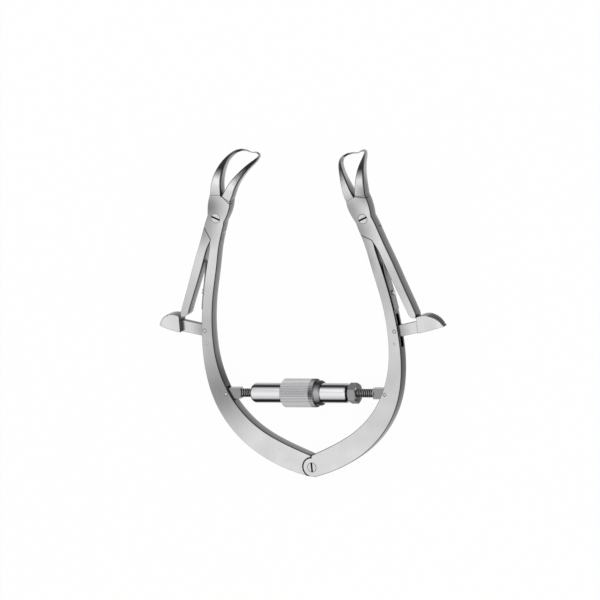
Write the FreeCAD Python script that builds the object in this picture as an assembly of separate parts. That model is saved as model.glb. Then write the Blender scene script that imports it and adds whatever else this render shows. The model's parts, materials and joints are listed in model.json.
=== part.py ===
import FreeCAD, Part
import math
import os

os.makedirs("parts", exist_ok=True)

# A self retaining retractor in stainless steel. Two curved arms are hinged at one end and spread by a
# turnbuckle. Each arm ends in a clamp: a fixed outer tine, and a lever that carries the inner tine and
# is held shut by a latch. It is modelled flat, with the hinge at the origin, X to the right, Y towards
# the jaws and Z out of the front face, and then laid down so that it rests on its jaws and its hinge.
# Millimetres and degrees.

# Arms
arm_thickness = 6.6
edge_round = 0.7
# middle line of the arm from the hinge towards the latch, as x, y and width
lower_arm_stations = [
    (-4.2, -1.1, 9.6),
    (12.0, 4.6, 11.6),
    (31.9, 16.6, 11.0),
    (44.6, 33.4, 9.3),
    (49.7, 51.8, 7.0),
]
# and from the latch to the clamp, as share of the way, distance right of the straight way, and width
upper_arm_stations = [
    (0.0, 0.0, 5.8),
    (0.290, 0.9, 5.3),
    (0.575, 0.2, 5.2),
    (0.796, -0.3, 5.4),
    (1.0, 0.0, 9.0),
]
arm_left_of_latch_pin = 1.15

# Fits
running_gap = 0.05
lap_gap = 0.06
seam_gap = 0.16

# Main hinge
hinge_boss_radius = 4.6
hinge_recess_gap = 0.5
close_angle = 6.0
open_angle = 16.0
stop_margin = 1.0
screw_head_diameter = 4.6
screw_head_height = 1.5
screw_head_proud = 0.12
screw_head_edge = 0.08
screw_shank_diameter = 2.8
screw_slot_width = 0.8
screw_slot_depth = 0.8
hinge_slot_angle = -89.0
clamp_slot_angle = 23.0

# Clamps
clamp_x = 39.7
clamp_y = 124.7
# the seam runs between the two tines and between the two legs, with a slanting shoulder at either end of
# the halved part: distance of each shoulder's foot on the seam, and its slant
clamp_seam_angle = 109.9
upper_shoulder = 12.0
upper_shoulder_slant = 26.6
lower_shoulder = 11.3
lower_shoulder_slant = 44.0
clamp_reach_above = 13.0
clamp_reach_below = 30.0
# middle line of the lever from its tip to the clamp, as share of the way, distance right of the straight
# way, and width
lever_stations = [
    (0.0, 0.0, 4.0),
    (0.132, 0.7, 4.1),
    (0.327, 1.1, 4.3),
    (0.561, 1.7, 4.6),
    (0.784, 1.9, 5.0),
    (1.0, 0.0, 9.0),
]
# root of each tine, as x and y from the clamp screw, and width
outer_root_station = (-0.7, 11.5, 5.9)
inner_root_station = (-6.2, 9.5, 5.2)
# the tines grow out of the strips' ends, bend down and taper to points that meet: x and y from the clamp
# screw, z of the middle, width and thickness; their first two stations lie inside the strip
outer_tine_stations = [
    (-0.62, 9.8, -3.3, 5.76, 6.44),
    (-0.7, 11.6, -3.3, 5.76, 6.44),
    (-1.0, 17.2, -4.5, 4.9, 6.0),
    (-1.8, 22.6, -8.1, 3.6, 4.4),
    (-2.7, 26.4, -13.3, 2.2, 2.7),
    (-4.1, 28.6, -18.8, 1.5, 1.8),
    (-5.9, 29.3, -22.3, 1.1, 1.2),
    (-8.4, 28.8, -24.0, 0.8, 0.8),
    (-11.05, 27.6, -24.6, 0.45, 0.45),
]
inner_tine_stations = [
    (-5.26, 8.06, -3.3, 5.06, 6.44),
    (-6.22, 9.56, -3.3, 5.06, 6.44),
    (-8.7, 14.6, -4.4, 4.2, 5.9),
    (-11.9, 19.7, -7.8, 3.0, 4.0),
    (-15.0, 23.5, -12.6, 2.1, 2.8),
    (-16.9, 25.6, -17.5, 1.5, 2.0),
    (-16.8, 26.9, -21.2, 1.1, 1.3),
    (-14.3, 27.6, -23.9, 0.8, 0.8),
    (-11.2, 27.6, -24.6, 0.45, 0.45),
]
tine_full_round = 0.45
tine_steps = 14

# Latches
latch_pin_x = 51.2
latch_pin_y = 68.3
latch_pin_diameter = 1.8
latch_tilt = 11.6
latch_heel_radius = 2.8
latch_bar_below = 3.3
latch_bar_above = 2.3
latch_bar_thickness = 2.8
latch_slot_reach = 8.3
latch_slot_back_gap = 0.25
thumb_plate_x = 64.05
thumb_plate_radius = 9.2
thumb_plate_center_along = 16.2
thumb_plate_center_across = -4.4
thumb_plate_length = 12.1
thumb_plate_rise = 0.9
thumb_plate_drop = 3.6
thumb_plate_overlap = 2.0
serration_count = 8
serration_first_angle = 16.0
serration_pitch_angle = 6.6
serration_radius = 0.34
lever_tip_left_of_plate = 1.15
lever_tip_above_latch = 4.0
lever_tip_gap = 0.7
lever_tip_engagement = 0.57
lever_tip_flat = 0.5
lever_tip_round = 4.2
lever_step_height = 5.6

# Leaf spring of each lever, and its screw; heights are above the latch pin
leaf_thickness = 0.6
leaf_width = 4.4
leaf_root_height = 10.4
leaf_leave_height = 23.0
leaf_tip_height = 34.3
leaf_seat_gap = 0.06
leaf_tip_gap = 0.3
leaf_screw_height = 18.7
leaf_screw_head_diameter = 2.6
leaf_screw_head_height = 0.9
leaf_screw_shank_diameter = 1.4
leaf_screw_depth = 2.6
leaf_screw_slot_width = 0.5
leaf_screw_slot_depth = 0.4

# Spring of each latch, in the slot under the latch
latch_spring_pin_drop = 6.2
latch_spring_pin_inset = 2.9
latch_spring_pin_diameter = 1.0
latch_spring_eye_wall = 0.45
latch_spring_thickness = 0.4
latch_spring_width = 2.3
latch_spring_tip_gap = 0.2
latch_spring_tip_reach = 0.6
latch_spring_bow = (0.5, -0.3)

# Turnbuckle
rod_pin_x = 42.8
rod_pin_y = 36.6
rod_pin_diameter = 1.6
rod_eye_radius = 2.65
rod_eye_thickness = 3.4
rod_block_end = 36.2
rod_swing_room = 0.65
rod_diameter = 4.4
left_rod_end = -9.4
right_rod_end = 1.5
tube_left = -30.0
tube_right = 22.0
tube_diameter = 9.9
tube_left_round = 3.0
tube_right_round = 0.8
grip_left = -12.8
grip_right = 5.6
grip_diameter = 14.1
grip_chamfer = 0.9
grip_chamfer_depth = 1.1
collar_diameter = 12.4
collar_width = 2.7
collar_round = 0.9
knurl_count = 48
knurl_depth = 0.35
nut_left = 23.2
nut_width = 4.2
nut_across_corners = 10.6
nut_chamfer = 0.8


def point(x, y, z=0.0):
    return FreeCAD.Vector(x, y, z)


def box_between(low, high):
    size = high - low
    return Part.makeBox(size.x, size.y, size.z, low)


def upright(x, y, radius, low, high):
    """A cylinder along Z."""
    return Part.makeCylinder(radius, high - low, point(x, y, low))


def along_x(radius, start, end):
    """A cylinder on the turnbuckle's axis."""
    return Part.makeCylinder(radius, end - start, point(start, rod_pin_y, mid_z), point(1, 0, 0))


def turned(shape, angle, x, y):
    copy = shape.copy()
    copy.rotate(point(x, y), point(0, 0, 1), angle)
    return copy


def mirrored(shape):
    return shape.mirror(point(0, 0), point(1, 0))


def fused(shapes):
    return shapes[0].fuse(shapes[1:]).removeSplitter()


mid_z = -arm_thickness / 2
front_layer = (mid_z + lap_gap / 2, 0.0)
back_layer = (-arm_thickness, mid_z - lap_gap / 2)
# cuts for a layer reach past the outer face and meet the layer's own inner face
front_cut = (mid_z - lap_gap / 2, 1.0)
back_cut = (-arm_thickness - 1.0, mid_z + lap_gap / 2)
far = 200.0
straight_enough = 1e-4
near_enough = 0.01
# length of a cubic curve's handles for a quarter circle, over its radius
quarter_round = 0.5523


def rims_at(shape, x):
    """Edges that lie in one plane across the turnbuckle's axis."""
    return [edge for edge in shape.Edges
            if edge.BoundBox.XLength < near_enough and abs(edge.BoundBox.XMin - x) < near_enough]


def along_way(start, end, stations):
    """Stations given by their share of a straight way, as x, y and width."""
    placed = []
    for share, right, width in stations:
        x = start[0] + (end[0] - start[0]) * share + right
        placed.append((x, start[1] + (end[1] - start[1]) * share, width))
    return placed


def from_clamp(station):
    return (clamp_x + station[0], clamp_y + station[1]) + station[2:]


def arm_line():
    latch_end = (latch_pin_x - arm_left_of_latch_pin, latch_pin_y)
    upper = along_way(latch_end, (clamp_x, clamp_y), upper_arm_stations)
    return lower_arm_stations + upper + [from_clamp(outer_root_station)]


def lever_line():
    tip = (thumb_plate_x - lever_tip_left_of_plate, latch_pin_y + lever_tip_above_latch)
    return along_way(tip, (clamp_x, clamp_y), lever_stations) + [from_clamp(inner_root_station)]


def spline(points):
    curve = Part.BSplineCurve()
    curve.interpolate(points)
    return curve


def arc_from(start, direction, end):
    """The arc that leaves a point in a direction and ends at another point, or a line if it is straight."""
    chord = end - start
    along = chord / chord.Length
    side = direction - along * direction.dot(along)
    if side.Length < straight_enough:
        return Part.makeLine(start, end)
    angle = math.asin(min(1.0, side.Length))
    rise = chord.Length / 2 * math.tan(angle / 2)
    return Part.Arc(start, start + chord / 2 + side / side.Length * rise, end).toShape()


def tangent_arcs(points, directions):
    """A smooth chain of arcs through points, two arcs to a span."""
    chain = []
    for start, end, leave, arrive in zip(points, points[1:], directions, directions[1:]):
        span = end - start
        bend = 2 * (leave.dot(arrive) - 1)
        slope = -2 * span.dot(leave + arrive)
        if abs(bend) < straight_enough:
            reach = -span.dot(span) / slope
        else:
            reach = (-slope - math.sqrt(slope * slope - 4 * bend * span.dot(span))) / (2 * bend)
        joint = (start + end + (leave - arrive) * reach) * 0.5
        chain.append(arc_from(start, leave, joint))
        chain.append(arc_from(end, arrive * -1, joint).reversed())
    return chain


def ribbon_sides(stations):
    """The right and left edges of a strip of changing width, each a chain of arcs."""
    centres = [point(x, y) for x, y, width in stations]
    middle = spline(centres)
    sides = []
    for sign in (1, -1):
        edge_points = []
        for centre, station in zip(centres, stations):
            direction = middle.tangent(middle.parameter(centre))[0]
            edge_points.append(centre + point(direction.y, -direction.x) * (sign * station[2] / 2))
        guide = spline(edge_points)
        directions = [guide.tangent(guide.parameter(p))[0].normalize() for p in edge_points]
        sides.append(tangent_arcs(edge_points, directions))
    return sides


def ribbon(stations, low, high, rounding=edge_round):
    """A strip extruded between two heights, with its long edges rounded."""
    right, left = ribbon_sides(stations)
    caps = [Part.makeLine(left[0].firstVertex(True).Point, right[0].firstVertex(True).Point),
            Part.makeLine(right[-1].lastVertex(True).Point, left[-1].lastVertex(True).Point)]
    wire = Part.Wire(Part.sortEdges(right + left + caps)[0])
    wire.translate(point(0, 0, low))
    solid = Part.Face(wire).extrude(point(0, 0, high - low))
    if not rounding:
        return solid
    cap_places = [cap.CenterOfMass for cap in caps]
    long_edges = []
    for edge in solid.Edges:
        centre = edge.CenterOfMass
        flat = point(centre.x, centre.y)
        is_cap = min((flat - place).Length for place in cap_places) < straight_enough
        if edge.BoundBox.ZLength < (high - low) / 2 and not is_cap:
            long_edges.append(edge)
    return solid.makeFillet(rounding, long_edges)


def side_point(chain, y):
    """Point and direction of a chain of arcs at a given Y, found by halving."""
    for edge in chain:
        start, end = edge.firstVertex(True).Point, edge.lastVertex(True).Point
        if min(start.y, end.y) <= y <= max(start.y, end.y):
            break
    low, high = edge.FirstParameter, edge.LastParameter
    rising = edge.valueAt(high).y > edge.valueAt(low).y
    while high - low > 1e-9:
        middle = (low + high) / 2
        if (edge.valueAt(middle).y < y) == rising:
            low = middle
        else:
            high = middle
    direction = edge.tangentAt(low)
    if direction.dot(end - start) < 0:
        direction = direction * -1
    return edge.valueAt(low), direction


def rounded_section(centre, across, up, width, thickness, radius):
    """A rounded rectangle round a point, square to the tine."""
    handle = radius * (1 - quarter_round)
    x, y = width / 2, thickness / 2

    def at(u, v):
        return centre + across * u + up * v

    edges = []
    for sx, sy in ((1, 1), (-1, 1), (-1, -1), (1, -1)):
        first = at(sx * x, sy * (y - radius)) if sx * sy > 0 else at(sx * (x - radius), sy * y)
        last = at(sx * (x - radius), sy * y) if sx * sy > 0 else at(sx * x, sy * (y - radius))
        pulls = [at(sx * x, sy * (y - handle)), at(sx * (x - handle), sy * y)]
        if sx * sy < 0:
            pulls.reverse()
        if edges:
            edges.append(Part.makeLine(edges[-1].lastVertex().Point, first))
        corner = Part.BezierCurve()
        corner.setPoles([first] + pulls + [last])
        edges.append(corner.toShape())
    edges.append(Part.makeLine(edges[-1].lastVertex().Point, edges[0].firstVertex().Point))
    return Part.Wire(edges)


def tine(stations):
    """A prong that bends and tapers along its stations, in short straight steps."""
    centres = [point(x, y, z) for x, y, z, width, thickness in stations]
    middle = spline(centres)
    places = [middle.parameter(centre) for centre in centres]
    # width and thickness along the prong, kept as the x and y of a second curve
    girth = Part.BSplineCurve()
    girth.interpolate(Points=[point(s[3], s[4], i) for i, s in enumerate(stations)], Parameters=places)
    across = point(1, 0)
    root_share = edge_round / min(stations[0][3:])
    sections = []
    for step in range(tine_steps + 1):
        done = step / tine_steps
        place = places[0] + (places[-1] - places[0]) * done
        direction = middle.tangent(place)[0]
        if not sections:
            direction = point(direction.x, direction.y).normalize()
        across = (across - direction * across.dot(direction)).normalize()
        up = direction.cross(across)
        size = girth.value(place)
        share = root_share + (tine_full_round - root_share) * done
        sections.append(rounded_section(middle.value(place), across, up, size.x, size.y,
                                        share * min(size.x, size.y)))
    return Part.makeLoft(sections, True, True)


def clamp_region(corners, layer=(-far, far)):
    """An upright block over corners given across and along the seam of the clamp."""
    flat = [point(across, along, layer[0]) for across, along in corners]
    block = Part.Face(Part.makePolygon(flat + flat[:1])).extrude(point(0, 0, layer[1] - layer[0]))
    block.rotate(point(0, 0), point(0, 0, 1), clamp_seam_angle - 90)
    block.translate(point(clamp_x, clamp_y))
    return block


def shoulders(sign, gap, layer=(-far, far)):
    """What lies past the two shoulders of the piece whose tine is on the given side of the seam."""
    upper_slant = math.radians(upper_shoulder_slant)
    lower_slant = math.radians(lower_shoulder_slant)
    seam = sign * gap
    upper = upper_shoulder + gap / math.cos(upper_slant) - sign * seam * math.tan(upper_slant)
    lower = -lower_shoulder - gap / math.cos(lower_slant) + sign * seam * math.tan(lower_slant)
    edge = far / 8
    above, below = clamp_reach_above + seam_gap, -clamp_reach_below - seam_gap
    top = [(seam, upper), (sign * edge, upper - (edge - gap) * math.tan(upper_slant)),
           (sign * edge, above), (seam, above)]
    bottom = [(-seam, lower), (-sign * edge, lower + (edge - gap) * math.tan(lower_slant)),
              (-sign * edge, below), (-seam, below)]
    return clamp_region(top, layer).fuse(clamp_region(bottom, layer))


def clamp_halves(arm_blank, lever_blank, arm_layer, lever_layer):
    """Arm and lever, halved into each other at the clamp and free of each other past its shoulders."""
    edge = far / 8
    zone = clamp_region([(-edge, -clamp_reach_below), (edge, -clamp_reach_below),
                         (edge, clamp_reach_above), (-edge, clamp_reach_above)])
    both = arm_blank.fuse(lever_blank).common(zone)
    halves = []
    for blank, own_sign, layer in ((arm_blank, 1, arm_layer), (lever_blank, -1, lever_layer)):
        full = both.common(shoulders(own_sign, seam_gap / 2))
        plate = both.common(box_between(point(-far, -far, layer[0]), point(far, far, layer[1])))
        plate = plate.cut(shoulders(-own_sign, -seam_gap / 2))
        halves.append(fused([blank.cut(zone), full, plate]))
    return halves


def screw(x, y):
    """A slotted screw: head in the front piece, shank through to the back face."""
    head_low = screw_head_proud - screw_head_height
    head = upright(x, y, screw_head_diameter / 2, head_low, screw_head_proud)
    rim = [edge for edge in head.Edges if edge.BoundBox.ZMin > 0 and len(edge.Vertexes) == 1]
    head = head.makeChamfer(screw_head_edge, rim)
    shank = upright(x, y, screw_shank_diameter / 2, -arm_thickness, head_low)
    half_slot = screw_slot_width / 2
    slot = box_between(point(x - screw_head_diameter, y - half_slot, screw_head_proud - screw_slot_depth),
                       point(x + screw_head_diameter, y + half_slot, screw_head_proud + 1))
    return head.fuse(shank).removeSplitter(), slot


def slotted_screw(x, y, slot_angle):
    body, slot = screw(x, y)
    return body.cut(turned(slot, slot_angle, x, y))


def screw_hole(x, y, head_gap, shank_gap):
    head = upright(x, y, screw_head_diameter / 2 + head_gap, screw_head_proud - screw_head_height, 1.0)
    shank = upright(x, y, screw_shank_diameter / 2 + shank_gap, -arm_thickness - 1.0, 0.0)
    return head.fuse(shank)


def hinge_wedge():
    """What a right arm leaves free beside the hinge, for the other arm and for both stops."""
    upper = box_between(point(-far, 0, -far), point(0, far, far))
    upper = turned(upper, -(close_angle + stop_margin) / 2, 0, 0)
    lower = box_between(point(-far, -far, -far), point(0, 0, far))
    lower = turned(lower, (open_angle + 2 * stop_margin) / 2, 0, 0)
    return upper.fuse(lower)


def latch_turned(shape):
    """From the latch's own frame, pin at the origin, to its place on the arm."""
    placed = shape.copy()
    placed.rotate(point(0, 0), point(0, 0, 1), latch_tilt)
    placed.translate(point(latch_pin_x, latch_pin_y))
    return placed


def latch_layer(gap):
    half = latch_bar_thickness / 2 + gap
    return mid_z - half, mid_z + half


def latch_slot():
    """The slot in the outer side of the arm that the latch's heel swings in."""
    low, high = latch_layer(running_gap)
    back = latch_pin_x - latch_heel_radius - latch_slot_back_gap
    return box_between(point(back, latch_pin_y - latch_slot_reach, low),
                       point(back + far, latch_pin_y + latch_slot_reach, high))


def rod_slot(pin_x):
    """The slot in the inner side of the arm that the rod's eye swings in."""
    half = rod_eye_thickness / 2 + running_gap
    low, high = mid_z - half, mid_z + half
    reach = rod_eye_radius + rod_swing_room
    mouth = box_between(point(0, rod_pin_y - reach, low), point(pin_x, rod_pin_y + reach, high))
    return mouth.fuse(upright(pin_x, rod_pin_y, reach, low, high))


def cross_hole(x, y, diameter):
    return upright(x, y, diameter / 2, -arm_thickness - 1, 1)


def leaf_seat(height):
    """Point on the arm's outer side at a height above the latch pin, and the direction straight out."""
    seat, direction = side_point(ribbon_sides(arm_line())[0], latch_pin_y + height)
    return seat, point(direction.y, -direction.x)


def leaf_screw(shank_gap=0.0):
    seat, outward = leaf_seat(leaf_screw_height)
    seat = seat + point(0, 0, mid_z)
    head_at = leaf_seat_gap * 2 + leaf_thickness
    shank = Part.makeCylinder(leaf_screw_shank_diameter / 2 + shank_gap, leaf_screw_depth + head_at,
                              seat - outward * leaf_screw_depth, outward)
    head = Part.makeCylinder(leaf_screw_head_diameter / 2, leaf_screw_head_height,
                             seat + outward * head_at, outward)
    half_slot = leaf_screw_slot_width / 2
    slot = box_between(point(-far, -half_slot, -leaf_screw_slot_depth), point(far, half_slot, 1))
    slot.Placement = FreeCAD.Placement(seat + outward * (head_at + leaf_screw_head_height),
                                       FreeCAD.Rotation(point(0, 0, 1), outward))
    return shank, head.cut(slot)


def jaw_spring():
    """A leaf that is screwed to the arm's outer side and bends out to the lever."""
    stations = []
    for share in (0, 1 / 3, 2 / 3, 1):
        seat, outward = leaf_seat(leaf_root_height + (leaf_leave_height - leaf_root_height) * share)
        place = seat + outward * (leaf_thickness / 2 + leaf_seat_gap)
        stations.append((place.x, place.y, leaf_thickness))
    rest = side_point(ribbon_sides(lever_line())[1], latch_pin_y + leaf_tip_height)[0]
    stations.append((rest.x - leaf_thickness / 2 - leaf_tip_gap, rest.y, leaf_thickness))
    leaf = ribbon(stations, mid_z - leaf_width / 2, mid_z + leaf_width / 2, 0)
    return leaf.cut(leaf_screw(running_gap)[0])


def thumb_plate():
    """The half moon at the end of the latch: a cam rim over a straight lower edge, domed to its tip."""
    low, high = -arm_thickness, thumb_plate_rise
    centre_x, centre_y = thumb_plate_center_along, thumb_plate_center_across
    moon = upright(centre_x, centre_y, thumb_plate_radius, low, high)
    lower_side = box_between(point(-far, -far, -far), point(far, -latch_bar_below, far))
    moon = latch_turned(moon.cut(lower_side))
    moon = moon.cut(box_between(point(-far, -far, -far), point(thumb_plate_x, far, far)))
    dome_radius = (thumb_plate_length ** 2 + thumb_plate_drop ** 2) / (2 * thumb_plate_drop)
    dome = Part.makeCylinder(dome_radius, far, point(thumb_plate_x, latch_pin_y - far / 2, high - dome_radius),
                             point(0, 1, 0))
    moon = moon.common(dome)
    grooves = []
    for index in range(serration_count):
        angle = math.radians(serration_first_angle + index * serration_pitch_angle)
        groove = upright(centre_x + thumb_plate_radius * math.cos(angle),
                         centre_y + thumb_plate_radius * math.sin(angle), serration_radius, -far / 2, far / 2)
        grooves.append(latch_turned(groove))
    return moon.cut(grooves)


def latch():
    low, high = latch_layer(0.0)
    reach = thumb_plate_x - latch_pin_x + thumb_plate_overlap
    bar = box_between(point(0, -latch_bar_below, low), point(reach, latch_bar_above, high))
    heel = upright(0, 0, latch_heel_radius, low, high)
    body = fused([latch_turned(bar.fuse(heel)), thumb_plate()])
    return body.cut(cross_hole(latch_pin_x, latch_pin_y, latch_pin_diameter + 2 * running_gap))


def latch_spring_pin_place():
    y = latch_pin_y - latch_spring_pin_drop
    return side_point(ribbon_sides(arm_line())[0], y)[0].x - latch_spring_pin_inset, y


def latch_spring():
    """A strip with an eye on its own pin, that pushes up on the latch from below."""
    half = latch_spring_width / 2
    low, high = mid_z - half, mid_z + half
    pin_x, pin_y = latch_spring_pin_place()
    inner = latch_spring_pin_diameter / 2
    outer = inner + latch_spring_eye_wall
    start = (pin_x + outer - latch_spring_thickness / 2, pin_y)
    tip = (latch_pin_x + latch_spring_tip_reach,
           latch_pin_y - latch_bar_below - latch_spring_tip_gap - latch_spring_thickness)
    middle = ((start[0] + tip[0]) / 2 + latch_spring_bow[0], (start[1] + tip[1]) / 2 + latch_spring_bow[1])
    blade = ribbon([place + (latch_spring_thickness,) for place in (start, middle, tip)], low, high, 0)
    hole = upright(pin_x, pin_y, inner, low - 1, high + 1)
    return fused([upright(pin_x, pin_y, outer, low, high), blade]).cut(hole)


def cut_for_fittings(arm):
    """Slots and holes in a right arm for the latch, its spring, the rod and the leaf spring."""
    cuts = [latch_slot(), rod_slot(rod_pin_x), leaf_screw()[0],
            cross_hole(latch_pin_x, latch_pin_y, latch_pin_diameter),
            cross_hole(*latch_spring_pin_place(), latch_spring_pin_diameter),
            cross_hole(rod_pin_x, rod_pin_y, rod_pin_diameter)]
    return arm.cut(cuts)


def side(arm_in_front_at_clamp, arm_in_front_at_hinge):
    """Arm and lever of one side, drawn on the right."""
    outer_tine = tine([from_clamp(station) for station in outer_tine_stations])
    inner_tine = tine([from_clamp(station) for station in inner_tine_stations])
    arm_blank = fused([ribbon(arm_line(), -arm_thickness, 0), outer_tine])
    lever_blank = fused([ribbon(lever_line(), -arm_thickness, 0), inner_tine])
    layers = (front_layer, back_layer) if arm_in_front_at_clamp else (back_layer, front_layer)
    arm, lever = clamp_halves(arm_blank, lever_blank, *layers)

    own_layer, other_cut = (front_layer, back_cut) if arm_in_front_at_hinge else (back_layer, front_cut)
    arm = arm.cut(hinge_wedge())
    arm = arm.cut(upright(0, 0, hinge_boss_radius + hinge_recess_gap, other_cut[0], other_cut[1]))
    arm = fused([arm, upright(0, 0, hinge_boss_radius, own_layer[0], own_layer[1])])
    # the screw rides in the left arm at the back and turns in the right arm at the front
    hinge_gap = running_gap if arm_in_front_at_hinge else 0.0
    arm = arm.cut(screw_hole(0, 0, running_gap, hinge_gap))
    arm = arm.cut(screw_hole(clamp_x, clamp_y, 0.0, 0.0))
    arm = cut_for_fittings(arm)

    lever = lever.cut(screw_hole(clamp_x, clamp_y, running_gap, running_gap))
    return arm, lever.cut(lever_tip_cuts())


def lever_tip_cuts():
    """The lever ends just above the latch, stepped on its outer side and rounded on its inner side."""
    tip_low = thumb_plate_top() - lever_tip_engagement
    tip_right = thumb_plate_x - lever_tip_gap
    below = box_between(point(0, -far, -far), point(far, tip_low, far))
    step = box_between(point(tip_right, -far, -far), point(far, tip_low + lever_step_height, far))
    round_x = tip_right - lever_tip_flat
    round_y = tip_low + lever_tip_round
    corner = box_between(point(0, -far, -far), point(round_x, round_y, far))
    return [below, step, corner.cut(upright(round_x, round_y, lever_tip_round, -far, far))]


def thumb_plate_top():
    """Height along Y of the corner where the half moon's rim meets its straight inner wall."""
    tilt = math.radians(latch_tilt)
    along, across = thumb_plate_center_along, thumb_plate_center_across
    centre_x = latch_pin_x + along * math.cos(tilt) - across * math.sin(tilt)
    centre_y = latch_pin_y + along * math.sin(tilt) + across * math.cos(tilt)
    return centre_y + math.sqrt(thumb_plate_radius ** 2 - (centre_x - thumb_plate_x) ** 2)


def rod(pin_x, inner_end):
    """Eye, block and threaded shank; the thread itself is left plain."""
    way = 1 if pin_x > 0 else -1
    half = rod_eye_thickness / 2
    low, high = mid_z - half, mid_z + half
    eye = upright(pin_x, rod_pin_y, rod_eye_radius, low, high)
    ends = sorted((pin_x, way * rod_block_end))
    block = box_between(point(ends[0], rod_pin_y - rod_eye_radius, low),
                        point(ends[1], rod_pin_y + rod_eye_radius, high))
    reach = sorted((way * (rod_block_end + 1), inner_end))
    shank = along_x(rod_diameter / 2, reach[0], reach[1])
    body = fused([eye, block, shank])
    return body.cut(cross_hole(pin_x, rod_pin_y, rod_pin_diameter + 2 * running_gap))


def pin(x, y, diameter):
    return upright(x, y, diameter / 2, -arm_thickness, 0)


def tube():
    body = along_x(tube_diameter / 2, tube_left, tube_right)
    body = body.makeFillet(tube_left_round, rims_at(body, tube_left))
    body = body.makeFillet(tube_right_round, rims_at(body, tube_right))
    return body.cut(along_x(rod_diameter / 2 + running_gap, tube_left - 1, tube_right + 1))


def grip():
    """The ring on the tube: a straight knurl with chamfered ends, and a plain collar to its right."""
    corners = []
    for index in range(2 * knurl_count):
        radius = grip_diameter / 2 - (knurl_depth if index % 2 else 0)
        angle = math.pi * index / knurl_count
        corners.append(point(grip_left, rod_pin_y + radius * math.cos(angle), mid_z + radius * math.sin(angle)))
    star = Part.Face(Part.makePolygon(corners + corners[:1]))
    body = star.extrude(point(grip_right - grip_left, 0, 0))
    outer = grip_diameter / 2
    rim = outer - grip_chamfer_depth
    profile = [point(grip_left, 0), point(grip_left, rim), point(grip_left + grip_chamfer, outer),
               point(grip_right - grip_chamfer / 2, outer), point(grip_right, rim), point(grip_right, 0)]
    blank = Part.Face(Part.makePolygon(profile + profile[:1])).revolve(point(0, 0), point(1, 0), 360)
    blank.translate(point(0, rod_pin_y, mid_z))
    collar_end = grip_right + collar_width
    collar = along_x(collar_diameter / 2, grip_right, collar_end)
    collar = collar.makeFillet(collar_round, rims_at(collar, collar_end))
    body = fused([body.common(blank), collar])
    return body.cut(along_x(tube_diameter / 2 + running_gap, grip_left - 1, collar_end + 1))


def lock_nut():
    radius = nut_across_corners / 2
    corners = []
    for index in range(7):
        angle = math.radians(60 * index)
        corners.append(point(nut_left, rod_pin_y + radius * math.cos(angle), mid_z + radius * math.sin(angle)))
    hexagon = Part.Face(Part.makePolygon(corners)).extrude(point(nut_width, 0, 0))
    rim = radius - nut_chamfer
    right = nut_left + nut_width
    profile = [point(nut_left, 0), point(nut_left, rim), point(nut_left + nut_chamfer / 2, radius),
               point(right - nut_chamfer / 2, radius), point(right, rim), point(right, 0)]
    blank = Part.Face(Part.makePolygon(profile + profile[:1])).revolve(point(0, 0), point(1, 0), 360)
    blank.translate(point(0, rod_pin_y, mid_z))
    return hexagon.common(blank).cut(along_x(rod_diameter / 2 + running_gap, nut_left - 1, right + 1))


def model():
    """Every piece by name, flat and with the hinge at the origin."""
    pieces = {}
    right_arm, right_lever = side(arm_in_front_at_clamp=False, arm_in_front_at_hinge=True)
    left_arm, left_lever = side(arm_in_front_at_clamp=True, arm_in_front_at_hinge=False)
    pieces["left_arm"] = mirrored(left_arm)
    pieces["right_arm"] = right_arm
    pieces["left_jaw_lever"] = mirrored(left_lever)
    pieces["right_jaw_lever"] = right_lever
    pieces["hinge_screw"] = slotted_screw(0, 0, hinge_slot_angle)
    clamp_screw = slotted_screw(clamp_x, clamp_y, clamp_slot_angle)
    leaf_shank, leaf_head = leaf_screw()
    paired = {
        "clamp_screw": clamp_screw,
        "latch": latch(),
        "latch_pin": pin(latch_pin_x, latch_pin_y, latch_pin_diameter),
        "jaw_spring": jaw_spring(),
        "spring_screw": leaf_shank.fuse(leaf_head),
        "latch_spring": latch_spring(),
        "latch_spring_pin": pin(*latch_spring_pin_place(), latch_spring_pin_diameter),
        "rod_pin": pin(rod_pin_x, rod_pin_y, rod_pin_diameter),
    }
    for name, shape in paired.items():
        pieces["left_" + name] = mirrored(shape)
        pieces["right_" + name] = shape
    pieces["left_rod"] = rod(-rod_pin_x, left_rod_end)
    pieces["right_rod"] = rod(rod_pin_x, right_rod_end)
    pieces["turnbuckle_tube"] = tube()
    pieces["knurled_grip"] = grip()
    pieces["lock_nut"] = lock_nut()
    return pieces


# The jaws' points and the back edge of the hinge touch the table
tip_depth = -outer_tine_stations[-1][2]
tip_reach = clamp_y + outer_tine_stations[-1][1]
lean = math.degrees(math.atan2(tip_depth - arm_thickness, tip_reach + hinge_boss_radius))


def laid_down(shape):
    copy = shape.copy()
    copy.rotate(point(0, 0), point(1, 0), lean)
    return copy


def way_to_table(shapes):
    whole = Part.makeCompound(shapes).BoundBox
    return point(-whole.Center.x, -whole.Center.y, -whole.ZMin)


def main():
    leaning = {name: laid_down(shape) for name, shape in model().items()}
    way = way_to_table(list(leaning.values()))
    for name, shape in leaning.items():
        shape.translate(way)
        shape.exportStep(os.path.join("parts", name + ".step"))
    print("laid down by", lean, "degrees and moved by", way)


if __name__ == "__main__":
    main()
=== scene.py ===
import bpy
import json
import math
from mathutils import Matrix, Vector


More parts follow.
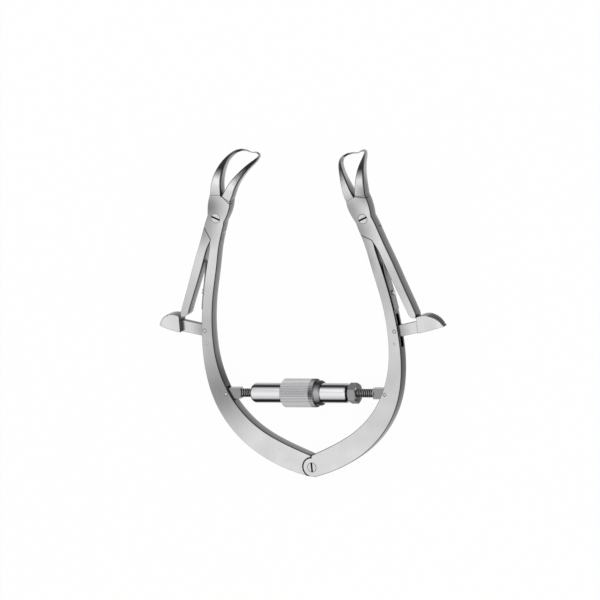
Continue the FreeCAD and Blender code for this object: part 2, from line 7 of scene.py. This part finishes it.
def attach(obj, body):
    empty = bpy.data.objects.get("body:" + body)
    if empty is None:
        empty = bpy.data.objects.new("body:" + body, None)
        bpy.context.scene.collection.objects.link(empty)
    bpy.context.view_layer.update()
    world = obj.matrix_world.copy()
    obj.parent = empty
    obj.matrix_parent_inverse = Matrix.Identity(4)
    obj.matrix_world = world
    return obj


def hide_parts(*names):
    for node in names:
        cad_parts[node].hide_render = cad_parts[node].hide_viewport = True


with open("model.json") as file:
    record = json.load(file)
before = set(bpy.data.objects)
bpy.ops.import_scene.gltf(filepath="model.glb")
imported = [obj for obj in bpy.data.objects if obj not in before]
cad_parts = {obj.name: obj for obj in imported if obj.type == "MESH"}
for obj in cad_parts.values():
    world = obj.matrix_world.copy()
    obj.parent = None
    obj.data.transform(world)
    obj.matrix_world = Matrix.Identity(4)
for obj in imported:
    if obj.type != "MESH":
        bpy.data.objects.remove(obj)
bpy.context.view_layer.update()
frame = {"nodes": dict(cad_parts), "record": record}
print("frame loaded:", len(frame["nodes"]), "pieces")

# The instrument's own frame: hinge at the origin, x right, y to the jaws, z out of the front faces, in
# millimetres. It leans back on its jaws and is shifted to the middle of its footprint.
layout = {
    "lean": math.radians(6.544518),
    "shift": (0.0, -75.64806, 7.34040),
    "thickness": 6.6,
    "rodAxisY": 36.6,
}
leanTurn = Matrix.Rotation(layout["lean"], 3, "X")
midZ = -layout["thickness"] / 2


def placed(x, y, z):  # instrument millimetres to scene metres
    return (leanTurn @ Vector((x, y, z)) + Vector(layout["shift"])) / 1000


def directed(x, y, z):
    return (leanTurn @ Vector((x, y, z))).normalized()


def linearColor(code):  # sRGB hex to linear
    parts = [int(code[i:i + 2], 16) / 255 for i in (1, 3, 5)]
    return tuple(c / 12.92 if c <= 0.04045 else ((c + 0.055) / 1.055) ** 2.4 for c in parts) + (1.0,)


# Settings go to sockets by number or name, to attributes by name, and to a ramp as (place, sRGB hex) stops.
def addNode(tree, kind, settings=None, **links):
    node = tree.nodes.new(kind)
    for key, value in (settings or {}).items():
        if key == "stops":
            elements = node.color_ramp.elements
            while len(elements) < len(value):
                elements.new(0.5)
            for element, (place, code) in zip(elements, value):
                element.position = place
                element.color = linearColor(code)
        elif isinstance(key, int) or key in node.inputs:
            node.inputs[key].default_value = value
        else:
            setattr(node, key, value)
    for key, source in links.items():
        socket = node.inputs[int(key[1:])] if key[0] == "i" and key[1:].isdigit() else node.inputs[key]
        tree.links.new(source, socket)
    return node


def newMaterial(name):
    material = bpy.data.materials.new(name)
    material.use_nodes = True
    tree = material.node_tree
    tree.nodes.clear()
    return material, tree


def measured(tree, where, x, y, z):  # millimetres along one of the instrument's own directions
    way = directed(x, y, z)
    start = -1000 * placed(0, 0, 0).dot(way)
    along = addNode(tree, "ShaderNodeVectorMath", {"operation": "DOT_PRODUCT", 1: way},
                    i0=where.outputs["Object"])
    return addNode(tree, "ShaderNodeMath", {"operation": "MULTIPLY_ADD", 1: 1000.0, 2: start},
                   i0=along.outputs["Value"]).outputs[0]


def facingShare(tree, where, x, y, z):  # 1 where the surface looks along that direction
    return addNode(tree, "ShaderNodeVectorMath", {"operation": "DOT_PRODUCT", 1: directed(x, y, z)},
                   i0=where.outputs["Normal"]).outputs["Value"]


def turnAbout(tree, where):  # 0 to 1 round the rods' line, one half at the front
    angle = addNode(tree, "ShaderNodeMath", {"operation": "ARCTAN2"}, i0=facingShare(tree, where, 0, 1, 0),
                    i1=facingShare(tree, where, 0, 0, 1))
    return addNode(tree, "ShaderNodeMapRange", {"From Min": -math.pi, "From Max": math.pi},
                   Value=angle.outputs[0]).outputs[0]


# How alike the rounded and the true normal are away from a corner, and on it.
cornerShares = {"From Min": 0.995, "From Max": 0.9}


def cornerShadeLined(tree, color, millimetres, code):  # draws each corner of a piece in a dark line of painted shade
    rounded = addNode(tree, "ShaderNodeBevel", {"samples": 6, "Radius": millimetres / 1000})
    true = addNode(tree, "ShaderNodeNewGeometry")
    alike = addNode(tree, "ShaderNodeVectorMath", {"operation": "DOT_PRODUCT"}, i0=rounded.outputs[0],
                    i1=true.outputs["Normal"])
    line = addNode(tree, "ShaderNodeMapRange", cornerShares, Value=alike.outputs["Value"])
    return addNode(tree, "ShaderNodeMix", {"data_type": "RGBA", 7: linearColor(code)}, i0=line.outputs[0],
                   i6=color).outputs[2]


# Real abrasive grain is too fine to show here, so it is drawn about half a millimetre coarse.
noiseSpan = {"From Min": 0.3, "From Max": 0.7}  # noise rarely leaves these values
fineGrain = {"millimetres": 0.4, "bump": 0.02}
mirrorGrain = {"millimetres": 0.6, "bump": 0.004}
polishSpread = 0.12


def grained(tree, where, color, roughness, grain):
    noise = addNode(tree, "ShaderNodeTexNoise", {"Scale": 1000 / grain["millimetres"], "Detail": 2.0},
                    Vector=where.outputs["Object"])
    polish = addNode(tree, "ShaderNodeMapRange", {**noiseSpan, "To Min": roughness * (1 - polishSpread),
                                                  "To Max": roughness * (1 + polishSpread)},
                     Value=noise.outputs["Fac"])
    bump = addNode(tree, "ShaderNodeBump", {"Strength": grain["bump"], "Distance": 0.0001},
                   Height=noise.outputs["Fac"])
    shader = addNode(tree, "ShaderNodeBsdfPrincipled", {"Metallic": 1.0}, i0=color,
                     Roughness=polish.outputs[0], Normal=bump.outputs[0])
    addNode(tree, "ShaderNodeOutputMaterial", {}, Surface=shader.outputs[0])


# Forged stainless steel, satin ground. The faces are pale, with soft patches of painted shade. The rounded
# edges are painted dark, a painted shade that draws each piece's outline, and the walls are in darker painted
# shade, darkest next to the face and again at half thickness.
satinSettings = {
    "face": "#DADADB",
    # the rounded edges are painted dark: painted shade
    "edge": "#2E2F31",
    "wallShadeStops": [(0.0, "#9C9C9E"), (0.14, "#87888A"), (0.4, "#77787A"), (0.48, "#5F6062"), (0.54, "#747577"),
                  (0.8, "#5C5D5F"), (0.93, "#3C3D3F"), (1.0, "#37383A")],  # from the back up to the face
    "wallToEdge": {"From Min": 0.12, "From Max": 0.4},  # by how far the surface looks to the front or back
    "edgeToFace": {"From Min": 0.62, "From Max": 0.93},
    "cornerShadeLine": "#404143",
    "cornerMillimetres": 0.5,
    # the floors of the lapped joints are painted near black: painted shade
    "gap": {"floor": "#0E0E10", "from": -1.0, "to": -5.2, "endAtY": 132.0, "facing": 0.8},
    "roughness": 0.24,
    "grain": {"millimetres": 0.35, "bump": 0.02},
    "cloudMillimetres": 14.0,
    "cloudTint": (0.92, 1.04),
    "streakMillimetres": (0.5, 9.0),
    "streakTint": (0.98, 1.02),
    # patches of painted shade: x, y, radius, and how much light they take
    "shadePatches": [
        (-46, 37, 30, 0.58), (-52, 70, 36, 0.28), (-48, 119, 13, 0.5), (-43, 130.5, 12, 0.68),
        (48, 40, 46, 0.14), (46, 88, 26, 0.3), (36, 104, 13, 0.66), (34, 118, 15, 0.6), (33, 130, 10, 0.45),
        (43, 137.5, 10, 0.55),
    ],
    # patches of deeper painted shade on the walls: x, y, radius, and how much light they take
    "wallShadePatches": [(58, 50, 44, 0.6), (-46, 42, 18, 0.75)],
}
# The latches are ground like the arms, with painted shade by their pins, walls in darker painted shade, and
# no lapped joint.
latchSettings = {
    **satinSettings,
    "edge": "#1C1C1E",
    "wallShadeStops": [(0.0, "#6A6A6C"), (0.5, "#3E3E40"), (1.0, "#2C2C2E")],
    "gap": None,
    "shadePatches": [(52, 68, 9, 0.45), (-52, 68, 9, 0.45)],
}


# Painted shade: each patch darkens the colour smoothly towards its middle.
def patchShade(tree, place, shadePatches):
    shade = None
    for x, y, radius, strength in shadePatches:
        away = addNode(tree, "ShaderNodeVectorMath", {"operation": "DISTANCE", 1: (x, y, 0)}, i0=place)
        clear = addNode(tree, "ShaderNodeMapRange", {"From Min": 0.0, "From Max": radius,
                                                     "To Min": 1 - strength, "To Max": 1.0,
                                                     "interpolation_type": "SMOOTHSTEP"},
                        Value=away.outputs["Value"]).outputs[0]
        if shade is None:
            shade = clear
        else:
            shade = addNode(tree, "ShaderNodeMath", {"operation": "MULTIPLY"}, i0=shade, i1=clear).outputs[0]
    return shade


def groundFaceAndShade(tree, where, place, settings):
    across, along = settings["streakMillimetres"]
    cloud = addNode(tree, "ShaderNodeTexNoise", {"Scale": 1000 / settings["cloudMillimetres"], "Detail": 3.0},
                    Vector=where.outputs["Object"])
    stretched = addNode(tree, "ShaderNodeMapping", {"Scale": (1000 / across, 1000 / along, 1000 / along)},
                        Vector=where.outputs["Object"])
    streak = addNode(tree, "ShaderNodeTexNoise", {"Scale": 1.0, "Detail": 2.0}, Vector=stretched.outputs[0])
    shade = patchShade(tree, place, settings["shadePatches"])
    for noise, (low, high) in ((cloud, settings["cloudTint"]), (streak, settings["streakTint"])):
        tint = addNode(tree, "ShaderNodeMapRange", {**noiseSpan, "To Min": low, "To Max": high},
                       Value=noise.outputs["Fac"])
        shade = addNode(tree, "ShaderNodeMath", {"operation": "MULTIPLY"}, i0=shade,
                        i1=tint.outputs[0]).outputs[0]
    return addNode(tree, "ShaderNodeVectorMath", {"operation": "SCALE", 0: linearColor(settings["face"])[:3]},
                   Scale=shade).outputs[0]


# The walls in painted shade: darker towards the face, and darker still in patches.
def paintedWallShade(tree, height, place, settings):
    depth = addNode(tree, "ShaderNodeMapRange", {"From Min": -layout["thickness"], "From Max": 0.0},
                    Value=height)
    ramp = addNode(tree, "ShaderNodeValToRGB", {"stops": settings["wallShadeStops"]}, i0=depth.outputs[0])
    return addNode(tree, "ShaderNodeVectorMath", {"operation": "SCALE"}, i0=ramp.outputs[0],
                   Scale=patchShade(tree, place, settings["wallShadePatches"])).outputs[0]


def insideGap(tree, facing, height, place, gap):  # 1 on the floors of the lapped joints, which are painted near black as painted shade
    y = addNode(tree, "ShaderNodeSeparateXYZ", {}, Vector=place).outputs[1]
    inside = None
    limits = [(height, "LESS_THAN", gap["from"]), (height, "GREATER_THAN", gap["to"]),
              (facing, "GREATER_THAN", gap["facing"]), (y, "LESS_THAN", gap["endAtY"])]
    for source, operation, limit in limits:
        mask = addNode(tree, "ShaderNodeMath", {"operation": operation, 1: limit}, i0=source).outputs[0]
        if inside is None:
            inside = mask
        else:
            inside = addNode(tree, "ShaderNodeMath", {"operation": "MULTIPLY"}, i0=inside, i1=mask).outputs[0]
    return inside


def satinSteel(name, settings):
    material, tree = newMaterial(name)
    where = addNode(tree, "ShaderNodeTexCoord")
    facing = facingShare(tree, where, 0, 0, 1)
    outward = addNode(tree, "ShaderNodeMath", {"operation": "ABSOLUTE"}, i0=facing).outputs[0]
    height = measured(tree, where, 0, 0, 1)
    place = addNode(tree, "ShaderNodeCombineXYZ", {}, X=measured(tree, where, 1, 0, 0),
                    Y=measured(tree, where, 0, 1, 0)).outputs[0]
    # The rounded edges and the walls are painted in shade, by how far each surface looks aside from the
    # front.
    toEdge = addNode(tree, "ShaderNodeMapRange", {**settings["wallToEdge"],
                                                  "interpolation_type": "SMOOTHSTEP"}, Value=outward)
    toFace = addNode(tree, "ShaderNodeMapRange", {**settings["edgeToFace"],
                                                  "interpolation_type": "SMOOTHSTEP"}, Value=outward)
    side = addNode(tree, "ShaderNodeMix", {"data_type": "RGBA", 7: linearColor(settings["edge"])},
                   i0=toEdge.outputs[0], i6=paintedWallShade(tree, height, place, settings))
    surface = addNode(tree, "ShaderNodeMix", {"data_type": "RGBA"}, i0=toFace.outputs[0], i6=side.outputs[2],
                      i7=groundFaceAndShade(tree, where, place, settings))
    color = cornerShadeLined(tree, surface.outputs[2], settings["cornerMillimetres"], settings["cornerShadeLine"])
    # Painted shade on the floors of the lapped joints.
    gap = settings["gap"]
    if gap:
        color = addNode(tree, "ShaderNodeMix", {"data_type": "RGBA", 7: linearColor(gap["floor"])},
                        i0=insideGap(tree, facing, height, place, gap), i6=color).outputs[2]
    grained(tree, where, color, settings["roughness"], settings["grain"])
    return material


# Turned stainless steel, ground flush: the heads are as pale as the faces, their slots are painted dark as
# painted shade, and the seam about each head is dark.
screwSettings = {"face": "#D2D2D3", "slot": "#151517", "slotTop": -0.05, "slotBottom": -1.0,
                 "seam": "#1E1F21", "seamMillimetres": 0.22, "roughness": 0.24}


def screwSteel(name, settings):
    material, tree = newMaterial(name)
    where = addNode(tree, "ShaderNodeTexCoord")
    height = measured(tree, where, 0, 0, 1)
    below = addNode(tree, "ShaderNodeMath", {"operation": "LESS_THAN", 1: settings["slotTop"]}, i0=height)
    above = addNode(tree, "ShaderNodeMath", {"operation": "GREATER_THAN", 1: settings["slotBottom"]},
                    i0=height)
    inSlot = addNode(tree, "ShaderNodeMath", {"operation": "MULTIPLY"}, i0=below.outputs[0],
                     i1=above.outputs[0])
    # The slot is painted dark: painted shade in the recess.
    color = addNode(tree, "ShaderNodeMix", {"data_type": "RGBA", 6: linearColor(settings["face"]),
                                            7: linearColor(settings["slot"])}, i0=inSlot.outputs[0])
    lined = cornerShadeLined(tree, color.outputs[2], settings["seamMillimetres"], settings["seam"])
    grained(tree, where, lined, settings["roughness"], fineGrain)
    return material


# Drawn pins and rolled springs. A pin's end is pale inside a ring of painted shade, where its chamfer meets
# the arm; the small spring pins are ground flush and hardly show; the springs are rolled, duller and darker.
pinSettings = {"color": "#C2C2C4", "roughness": 0.3, "line": "#2A2B2D", "lineMillimetres": 0.42}
flushPinSettings = {"color": "#CDCDCF", "roughness": 0.24, "line": "#2A2B2D", "lineMillimetres": 0.02}
springSettings = {"color": "#858688", "roughness": 0.3, "line": "#2A2B2D", "lineMillimetres": 0.2}


def plainSteel(name, settings):
    material, tree = newMaterial(name)
    where = addNode(tree, "ShaderNodeTexCoord")
    tone = addNode(tree, "ShaderNodeRGB")
    tone.outputs[0].default_value = linearColor(settings["color"])
    lined = cornerShadeLined(tree, tone.outputs[0], settings["lineMillimetres"], settings["line"])
    grained(tree, where, lined, settings["roughness"], fineGrain)
    return material


# Mirror polished stainless steel. Painted reflections run along the tube in bands of light and dark, a dark
# line above and a black band below.
tubeSettings = {
    "paintedLightBands": [(0.0, "#C8C8CA"), (0.3, "#B9B9BB"), (0.345, "#A0A0A2"), (0.358, "#19191B"),
              (0.42, "#151517"), (0.436, "#B2B2B4"), (0.47, "#D4D4D6"), (0.515, "#EDEDEE"),
              (0.57, "#D2D2D4"), (0.615, "#B4B4B6"), (0.632, "#38383A"), (0.678, "#434345"),
              (0.695, "#B0B0B2"), (0.78, "#BABABC"), (1.0, "#C8C8CA")],
    "roughness": 0.09,
}
# The lock nut is turned: mid grey, with painted light on its upper flats and painted shade, nearly black,
# underneath.
nutSettings = {
    "paintedLightBands": [(0.0, "#3A3A3C"), (0.40, "#3A3A3C"), (0.46, "#A0A0A2"), (0.5, "#98989A"), (0.6, "#B4B4B6"),
              (0.68, "#58585A"), (1.0, "#3A3A3C")],
    "roughness": 0.25,
}


def bandedSteel(name, settings):
    material, tree = newMaterial(name)
    where = addNode(tree, "ShaderNodeTexCoord")
    paintedLightBands = addNode(tree, "ShaderNodeValToRGB", {"stops": settings["paintedLightBands"]}, i0=turnAbout(tree, where))
    grained(tree, where, paintedLightBands.outputs[0], settings["roughness"], mirrorGrain)
    return material


# Knurled stainless steel: fine rows across a dull barrel, their valleys darker as painted shade, and a smooth
# dark collar at its right end whose light and dark bands are painted reflection.
knurlSettings = {
    "ridge": "#CDCDCF",
    "valley": "#B6B6B8",
    "rowMillimetres": 0.55,
    "line": "#8E8E90",
    "lineMillimetres": 0.15,
    "collarFrom": 2.9,
    "collarLightBands": [(0.0, "#2A2A2C"), (0.4, "#2A2A2C"), (0.47, "#9A9A9C"), (0.54, "#B0B0B2"),
                    (0.6, "#77777A"), (0.66, "#2E2E30"), (1.0, "#2A2A2C")],
    "roughness": 0.36,
}


def knurledSteel(name, settings):
    material, tree = newMaterial(name)
    where = addNode(tree, "ShaderNodeTexCoord")
    rowTurn = 2 * math.pi / settings["rowMillimetres"]
    wave = addNode(tree, "ShaderNodeMath", {"operation": "MULTIPLY", 1: rowTurn},
                   i0=measured(tree, where, 0, 1, 0))
    ripple = addNode(tree, "ShaderNodeMath", {"operation": "SINE"}, i0=wave.outputs[0])
    ridges = addNode(tree, "ShaderNodeMapRange", {"From Min": -1.0, "From Max": 1.0}, Value=ripple.outputs[0])
    # The rows are drawn in colour, the valleys darker as painted shade.
    barrel = addNode(tree, "ShaderNodeMix", {"data_type": "RGBA", 6: linearColor(settings["valley"]),
                                             7: linearColor(settings["ridge"])}, i0=ridges.outputs[0])
    # Painted reflection on the collar, by the angle round the rods' line.
    collar = addNode(tree, "ShaderNodeValToRGB", {"stops": settings["collarLightBands"]},
                     i0=turnAbout(tree, where))
    onCollar = addNode(tree, "ShaderNodeMath", {"operation": "GREATER_THAN", 1: settings["collarFrom"]},
                       i0=measured(tree, where, 1, 0, 0))
    color = addNode(tree, "ShaderNodeMix", {"data_type": "RGBA"}, i0=onCollar.outputs[0],
                    i6=barrel.outputs[2], i7=collar.outputs[0])
    lined = cornerShadeLined(tree, color.outputs[2], settings["lineMillimetres"], settings["line"])
    grained(tree, where, lined, settings["roughness"], fineGrain)
    return material


# Turned stainless steel screw threads: bright crests and dark roots in painted highlight and shade, and
# painted shade underneath. The eye blocks at their ends are plain mid grey.
threadSettings = {
    "rootRadius": 1.65,
    "crestRadius": 2.2,
    "rise": [(0.0, "#1A1A1C"), (0.55, "#4A4A4C"), (0.85, "#9C9C9E"), (1.0, "#BEBEC0")],
    "round": [(0.0, "#FFFFFF"), (0.36, "#8C8C8E"), (0.42, "#8C8C8E"), (0.5, "#FFFFFF"), (0.62, "#E0E0E2"),
              (0.7, "#A0A0A2"), (1.0, "#FFFFFF")],
    "block": "#929294",
    "blockFrom": 35.6,
    "roughness": 0.25,
}


def threadSteel(name, settings):
    material, tree = newMaterial(name)
    where = addNode(tree, "ShaderNodeTexCoord")
    ahead = addNode(tree, "ShaderNodeMath", {"operation": "SUBTRACT", 1: layout["rodAxisY"]},
                    i0=measured(tree, where, 0, 1, 0))
    up = addNode(tree, "ShaderNodeMath", {"operation": "SUBTRACT", 1: midZ},
                 i0=measured(tree, where, 0, 0, 1))
    spoke = addNode(tree, "ShaderNodeCombineXYZ", {}, X=ahead.outputs[0], Y=up.outputs[0])
    radius = addNode(tree, "ShaderNodeVectorMath", {"operation": "LENGTH"}, i0=spoke.outputs[0])
    share = addNode(tree, "ShaderNodeMapRange", {"From Min": settings["rootRadius"],
                                                 "From Max": settings["crestRadius"]},
                    Value=radius.outputs["Value"])
    # Painted shade in the roots and painted highlight on the crests, then painted shade underneath.
    rise = addNode(tree, "ShaderNodeValToRGB", {"stops": settings["rise"]}, i0=share.outputs[0])
    about = addNode(tree, "ShaderNodeValToRGB", {"stops": settings["round"]}, i0=turnAbout(tree, where))
    thread = addNode(tree, "ShaderNodeMix", {"data_type": "RGBA", "blend_type": "MULTIPLY", 0: 1.0},
                     i6=rise.outputs[0], i7=about.outputs[0])
    out = addNode(tree, "ShaderNodeMath", {"operation": "ABSOLUTE"}, i0=measured(tree, where, 1, 0, 0))
    onBlock = addNode(tree, "ShaderNodeMath", {"operation": "GREATER_THAN", 1: settings["blockFrom"]},
                      i0=out.outputs[0])
    color = addNode(tree, "ShaderNodeMix", {"data_type": "RGBA", 7: linearColor(settings["block"])},
                    i0=onBlock.outputs[0], i6=thread.outputs[2])
    grained(tree, where, color.outputs[2], settings["roughness"], fineGrain)
    return material


threadFinish = threadSteel("turned stainless steel", threadSettings)
pinFinish = plainSteel("pin end steel", pinSettings)
flushPinFinish = plainSteel("flush pin steel", flushPinSettings)
finishes = {
    "satin_steel": satinSteel("satin ground stainless steel", satinSettings),
    "latch_steel": satinSteel("satin latch steel", latchSettings),
    "polished_steel": bandedSteel("mirror polished stainless steel", tubeSettings),
    "knurled_steel": knurledSteel("knurled stainless steel", knurlSettings),
    "thread_steel": threadFinish,
    "screw_steel": screwSteel("slotted screw steel", screwSettings),
    "spring_steel": plainSteel("rolled spring steel", springSettings),
}
ownFinishes = {
    "lock_nut": bandedSteel("turned nut steel", nutSettings),
    "left_latch_pin": pinFinish,
    "right_latch_pin": pinFinish,
    "left_rod_pin": pinFinish,
    "right_rod_pin": pinFinish,
    "left_latch_spring_pin": flushPinFinish,
    "right_latch_spring_pin": flushPinFinish,
}
for row in frame["record"]["subparts"]:
    finish = ownFinishes.get(row["node"], finishes[row["material_slot"]])
    for materialSlot in frame["nodes"][row["node"]].material_slots:
        materialSlot.material = finish

# Curved walls of the solids shade as curves, and corners sharper than this angle stay sharp.
smoothing = {"joinMillimetres": 0.002, "sharpAngle": 28}
for piece in frame["nodes"].values():
    for face in piece.data.polygons:
        face.use_smooth = True
    join = piece.modifiers.new("joined seams", "WELD")
    join.merge_threshold = smoothing["joinMillimetres"] / 1000
    split = piece.modifiers.new("sharp corners", "EDGE_SPLIT")
    split.split_angle = math.radians(smoothing["sharpAngle"])


def meshPiece(name, points, faces, material, sharpAngle=None):
    mesh = bpy.data.meshes.new(name)
    mesh.from_pydata(points, [], faces)
    mesh.update()
    piece = bpy.data.objects.new(name, mesh)
    bpy.context.scene.collection.objects.link(piece)
    mesh.materials.append(material)
    if sharpAngle:
        mesh.shade_smooth()
        mesh.set_sharp_from_angle(angle=math.radians(sharpAngle))
    return piece


# Turnbuckle rods: an eye block on the arm's pin, and a screw thread into the tube.
rodSettings = {
    "pinX": 42.8,
    "eyeRadius": 2.65,
    "eyeThickness": 3.4,
    "eyeSteps": 16,
    "blockEnd": 36.2,
    "blockOverlap": 0.5,
    "threadRadius": 2.2,
    "threadDepth": 0.55,
    "pitch": 1.0,
    "flankGain": 1.3,  # above 1 the crests and roots get flat
    "rootShare": 0.1,
    "runOut": 0.6,
    "threadLength": {"left": 26.0, "right": 34.0},
    "stepsPerTurn": 36,
    "rowsPerPitch": 10,
    "sharpAngle": 40,
}


def threadRadiusAt(along, turn, settings):
    phase = (along / settings["pitch"] - turn) % 1.0
    flank = 1 - abs(2 * phase - 1)  # 1 at the crest, 0 at the root
    crest = min(1.0, max(0.0, flank * settings["flankGain"] - settings["rootShare"]))
    cut = min(1.0, along / settings["runOut"])
    return settings["threadRadius"] - settings["threadDepth"] * (1 - crest) * cut


def threadMesh(way, length, settings):
    steps = settings["stepsPerTurn"]
    rows = int(length / settings["pitch"] * settings["rowsPerPitch"])
    points = []
    for row in range(rows + 1):
        along = length * row / rows
        for step in range(steps):
            angle = 2 * math.pi * step / steps
            radius = threadRadiusAt(along, step / steps, settings)
            points.append(placed(way * (settings["blockEnd"] - along),
                                 layout["rodAxisY"] + radius * math.cos(angle),
                                 midZ + radius * math.sin(angle)))
    faces = []
    for row in range(rows):
        for step in range(steps):
            a = row * steps + step
            b = row * steps + (step + 1) % steps
            faces.append((a, b, b + steps, a + steps))
    faces.append(tuple(reversed(range(steps))))
    faces.append(tuple(range(rows * steps, (rows + 1) * steps)))
    return points, faces


def eyeMesh(way, first, settings):  # a flat bar that ends in a half round about the arm's pin
    inner = settings["blockEnd"] - settings["blockOverlap"]
    outline = [(inner, -settings["eyeRadius"])]
    for step in range(settings["eyeSteps"] + 1):
        angle = math.pi * (step / settings["eyeSteps"] - 0.5)
        outline.append((settings["pinX"] + settings["eyeRadius"] * math.cos(angle),
                        settings["eyeRadius"] * math.sin(angle)))
    outline.append((inner, settings["eyeRadius"]))
    points = []
    for z in (-settings["eyeThickness"] / 2, settings["eyeThickness"] / 2):
        for x, y in outline:
            points.append(placed(way * x, layout["rodAxisY"] + y, midZ + z))
    count = len(outline)
    lower = tuple(range(first, first + count))
    upper = tuple(range(first + count, first + 2 * count))
    faces = [lower[::-1], upper]
    for index in range(count):
        following = (index + 1) % count
        faces.append((lower[index], lower[following], upper[following], upper[index]))
    return points, faces


for side, way in (("left", -1), ("right", 1)):
    threadPoints, threadFaces = threadMesh(way, rodSettings["threadLength"][side], rodSettings)
    eyePoints, eyeFaces = eyeMesh(way, len(threadPoints), rodSettings)
    faces = [face[::way] for face in threadFaces + eyeFaces]  # the left rod is mirrored, its faces turned
    rod = meshPiece(side + "ThreadedRod", threadPoints + eyePoints, faces, threadFinish,
                    rodSettings["sharpAngle"])
    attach(rod, side + "_screw_rod")
    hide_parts(side + "_rod")
print("threads cut")

# White studio: seen directly or in the steel it is white, and it lights the floor more softly.
studioSettings = {"color": (1, 1, 1, 1), "lightStrength": 0.55, "seenStrength": 1.0}
world = bpy.data.worlds.new("white studio")
bpy.context.scene.world = world
world.use_nodes = True
tree = world.node_tree
tree.nodes.clear()
path = addNode(tree, "ShaderNodeLightPath")
seen = path.outputs["Is Camera Ray"]
for ray in ("Is Glossy Ray", "Is Transmission Ray"):
    seen = addNode(tree, "ShaderNodeMath", {"operation": "MAXIMUM"}, i0=seen, i1=path.outputs[ray]).outputs[0]
dim = addNode(tree, "ShaderNodeBackground", {"Color": studioSettings["color"],
                                             "Strength": studioSettings["lightStrength"]})
white = addNode(tree, "ShaderNodeBackground", {"Color": studioSettings["color"],
                                               "Strength": studioSettings["seenStrength"]})
mix = addNode(tree, "ShaderNodeMixShader", {}, i0=seen, i1=dim.outputs[0], i2=white.outputs[0])
addNode(tree, "ShaderNodeOutputWorld", {}, Surface=mix.outputs[0])

# White paper floor: mostly its own even white, with a little of the object's shadow.
floorSettings = {"halfWidth": 2, "paper": (0.9, 0.9, 0.9, 1), "glow": (1, 1, 1, 1), "glowStrength": 1.03,
                 "glowShare": 0.93}
floorFinish, tree = newMaterial("white paper floor")
paper = addNode(tree, "ShaderNodeBsdfDiffuse", {"Color": floorSettings["paper"]})
glow = addNode(tree, "ShaderNodeEmission", {"Color": floorSettings["glow"],
                                            "Strength": floorSettings["glowStrength"]})
mix = addNode(tree, "ShaderNodeMixShader", {0: floorSettings["glowShare"]}, i1=paper.outputs[0],
              i2=glow.outputs[0])
addNode(tree, "ShaderNodeOutputMaterial", {}, Surface=mix.outputs[0])
reach = floorSettings["halfWidth"]
corners = [(-reach, -reach, 0), (reach, -reach, 0), (reach, reach, 0), (-reach, reach, 0)]
meshPiece("floor", corners, [(0, 1, 2, 3)], floorFinish)

# The camera looks down on the front faces, from the instrument's right and a little from the jaws' end.
cameraSettings = {
    "toCamera": (0.422, 0.2, 0.88),
    "target": (0.0, 72.0, -3.0),
    "roll": -0.091,
    "pixelsPerMillimetre": 2.045,
    "targetPixel": (301.27, 322.45),
    "imageSize": 600,
    "distance": 1.2,
    "clip": (0.01, 10),
}


def cameraMatrix(settings):
    backward = directed(*settings["toCamera"])
    level = directed(0, 1, 0).cross(backward).normalized()
    right = level * math.cos(settings["roll"]) + backward.cross(level) * math.sin(settings["roll"])
    upward = backward.cross(right)
    pixelsPerMetre = settings["pixelsPerMillimetre"] * 1000
    half = settings["imageSize"] / 2
    pixelX, pixelY = settings["targetPixel"]
    center = placed(*settings["target"])
    center += right * ((half - pixelX) / pixelsPerMetre) + upward * ((pixelY - half) / pixelsPerMetre)
    axes = Matrix((right, upward, backward)).transposed().to_4x4()
    return Matrix.Translation(center + backward * settings["distance"]) @ axes


cameraData = bpy.data.cameras.new("camera")
cameraData.type = "ORTHO"
cameraData.ortho_scale = cameraSettings["imageSize"] / (cameraSettings["pixelsPerMillimetre"] * 1000)
cameraData.clip_start, cameraData.clip_end = cameraSettings["clip"]
camera = bpy.data.objects.new("camera", cameraData)
bpy.context.scene.collection.objects.link(camera)
camera.matrix_world = cameraMatrix(cameraSettings)
bpy.context.scene.camera = camera

# Two faint softboxes aimed at the middle of the instrument, in metres and watts.
softboxes = {
    "left softbox": {"position": (-0.2, 0.5, 0.7), "size": (0.4, 0.5), "watts": 0.25},
    "right softbox": {"position": (0.6, -0.3, 0.5), "size": (0.3, 0.5), "watts": 0.2},
}
for name, settings in softboxes.items():
    data = bpy.data.lights.new(name, "AREA")
    data.shape = "RECTANGLE"
    data.size, data.size_y = settings["size"]
    data.energy = settings["watts"]
    lamp = bpy.data.objects.new(name, data)
    bpy.context.scene.collection.objects.link(lamp)
    lamp.location = settings["position"]
    lamp.rotation_euler = (-Vector(settings["position"])).to_track_quat("-Z", "Y").to_euler()
bpy.context.scene.view_settings.view_transform = "Standard"
print("camera and lights ready")
